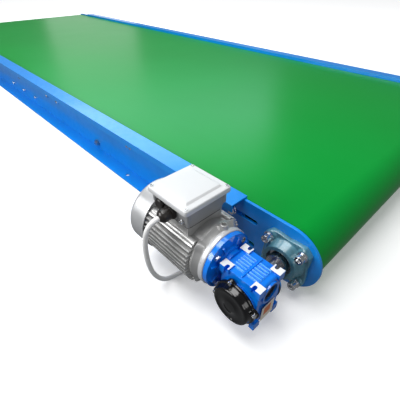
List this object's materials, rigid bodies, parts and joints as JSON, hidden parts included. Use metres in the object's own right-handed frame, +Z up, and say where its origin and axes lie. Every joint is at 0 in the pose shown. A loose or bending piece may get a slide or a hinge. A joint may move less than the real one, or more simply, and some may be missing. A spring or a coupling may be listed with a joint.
{
  "type": "belt conveyor section",
  "caption": "Straight flat belt conveyor section: slider bed belt between blue side channels, driven by a shaft mounted worm gearmotor.",
  "frame": {"origin": "centre of the four leg bolt holes in the side channels' bottom flanges, on the plane the channels stand on; midway between the webs and midway along the section", "axes": "+X along the conveyor towards the drive end, +Y across it away from the gearmotor, +Z up"},
  "size_m": [3, 1.2941, 0.2145],
  "materials": {
    "bearing_cast": "grey-green painted casting",
    "bearing_steel": "ground bearing steel",
    "belt_green": "glossy green PVC cover",
    "black_cover": "gloss black moulding",
    "bronze": "bronze gear rim",
    "cable_white": "white PVC sheath",
    "fan_plastic": "black moulding",
    "fastener": "bright zinc plated",
    "frame_blue": "gloss blue paint on bent sheet",
    "galvanised": "galvanised sheet",
    "gasket": "black gasket",
    "gear_blue": "high gloss blue enamel on cast aluminium",
    "gland": "black nylon",
    "lamination": "varnished steel laminations",
    "lid_grey": "light grey paint",
    "motor_grey": "silver grey paint on die-cast aluminium",
    "roller_steel": "zinc plated tube",
    "shaft_steel": "turned bright steel",
    "worm_steel": "case hardened ground steel"
  },
  "bodies": {
    "frame": {"blanking_plug": "gland", "cable_coil": "cable_white", "cable_gland": "gland", "conveyor_belt": "belt_green", "cross_member_1": "frame_blue", "cross_member_2": "frame_blue", "cross_member_3": "frame_blue", "drive_bearing_bolts": "fastener", "drive_bearing_far": "bearing_cast", "drive_bearing_near": "bearing_cast", "drive_bearing_rings": "bearing_steel", "drive_plate_bolts": "fastener", "drive_plate_far": "frame_blue", "drive_plate_near": "frame_blue", "fan_cowl": "motor_grey", "gearbox_bearings": "bearing_steel", "gearbox_housing": "gear_blue", "gearbox_input_flange": "gear_blue", "gearmotor_screws": "fastener", "motor_flange_bolts": "fastener", "motor_front_shield": "motor_grey", "motor_housing": "motor_grey", "motor_rear_shield": "motor_grey", "output_cover": "black_cover", "rear_cover": "black_cover", "roller_axles": "shaft_steel", "side_channel_far": "frame_blue", "side_channel_near": "frame_blue", "slider_bed": "galvanised", "stator_core": "lamination", "supply_cable": "cable_white", "tail_plate_bolts": "fastener", "terminal_box": "motor_grey", "terminal_gasket": "gasket", "terminal_lid": "lid_grey", "torque_arm": "frame_blue", "torque_arm_bolt": "fastener", "torque_arm_bush": "gasket", "web_bolts": "fastener", "worm_end_cap": "gland"},
    "drive_roller": {"drive_drum": "roller_steel", "drive_shaft": "shaft_steel", "drive_bearing_collars": "bearing_steel", "worm_wheel": "bronze"},
    "take_up": {"tail_plate_near": "frame_blue", "tail_plate_far": "frame_blue", "tail_bearing_near": "bearing_cast", "tail_bearing_far": "bearing_cast", "tail_bearing_rings": "bearing_steel", "tail_bearing_bolts": "fastener"},
    "tail_roller": {"tail_drum": "roller_steel", "tail_shaft": "shaft_steel", "tail_bearing_collars": "bearing_steel"},
    "motor_shaft": {"motor_rotor": "lamination", "motor_fan": "fan_plastic", "worm_shaft": "worm_steel"},
    "return_roller_1": {"return_roller_1": "roller_steel"},
    "return_roller_2": {"return_roller_2": "roller_steel"},
    "return_roller_3": {"return_roller_3": "roller_steel"},
    "return_roller_4": {"return_roller_4": "roller_steel"}
  },
  "joints": [
    {"name": "drive_roller_turn", "type": "hinge", "parent": "frame", "child": "drive_roller", "pos_m": [1.432, 0, 0.072], "axis": [0, 1, 0], "continuous": true},
    {"name": "motor_turn", "type": "hinge", "parent": "frame", "child": "motor_shaft", "pos_m": [1.25, -0.623, 0.1035], "axis": [1, 0, 0], "continuous": true},
    {"name": "take_up_slide", "type": "slide", "parent": "frame", "child": "take_up", "axis": [1, 0, 0], "range_m": [0, 0.02], "deforming": ["conveyor_belt"]},
    {"name": "tail_roller_turn", "type": "hinge", "parent": "take_up", "child": "tail_roller", "pos_m": [-1.432, 0, 0.072], "axis": [0, 1, 0], "continuous": true},
    {"name": "return_roller_1_turn", "type": "hinge", "parent": "frame", "child": "return_roller_1", "pos_m": [-1.172, 0, 0.024], "axis": [0, 1, 0], "continuous": true},
    {"name": "return_roller_2_turn", "type": "hinge", "parent": "frame", "child": "return_roller_2", "pos_m": [-0.69, 0, 0.024], "axis": [0, 1, 0], "continuous": true},
    {"name": "return_roller_3_turn", "type": "hinge", "parent": "frame", "child": "return_roller_3", "pos_m": [0.69, 0, 0.024], "axis": [0, 1, 0], "continuous": true},
    {"name": "return_roller_4_turn", "type": "hinge", "parent": "frame", "child": "return_roller_4", "pos_m": [1.172, 0, 0.024], "axis": [0, 1, 0], "continuous": true}
  ],
  "couplings": [
    {"joint": "motor_turn", "follows": "drive_roller_turn", "ratio": 30},
    {"joint": "tail_roller_turn", "follows": "drive_roller_turn", "ratio": 1},
    {"joint": "return_roller_1_turn", "follows": "drive_roller_turn", "ratio": -2.9704},
    {"joint": "return_roller_2_turn", "follows": "drive_roller_turn", "ratio": -2.9704},
    {"joint": "return_roller_3_turn", "follows": "drive_roller_turn", "ratio": -2.9704},
    {"joint": "return_roller_4_turn", "follows": "drive_roller_turn", "ratio": -2.9704}
  ]
}
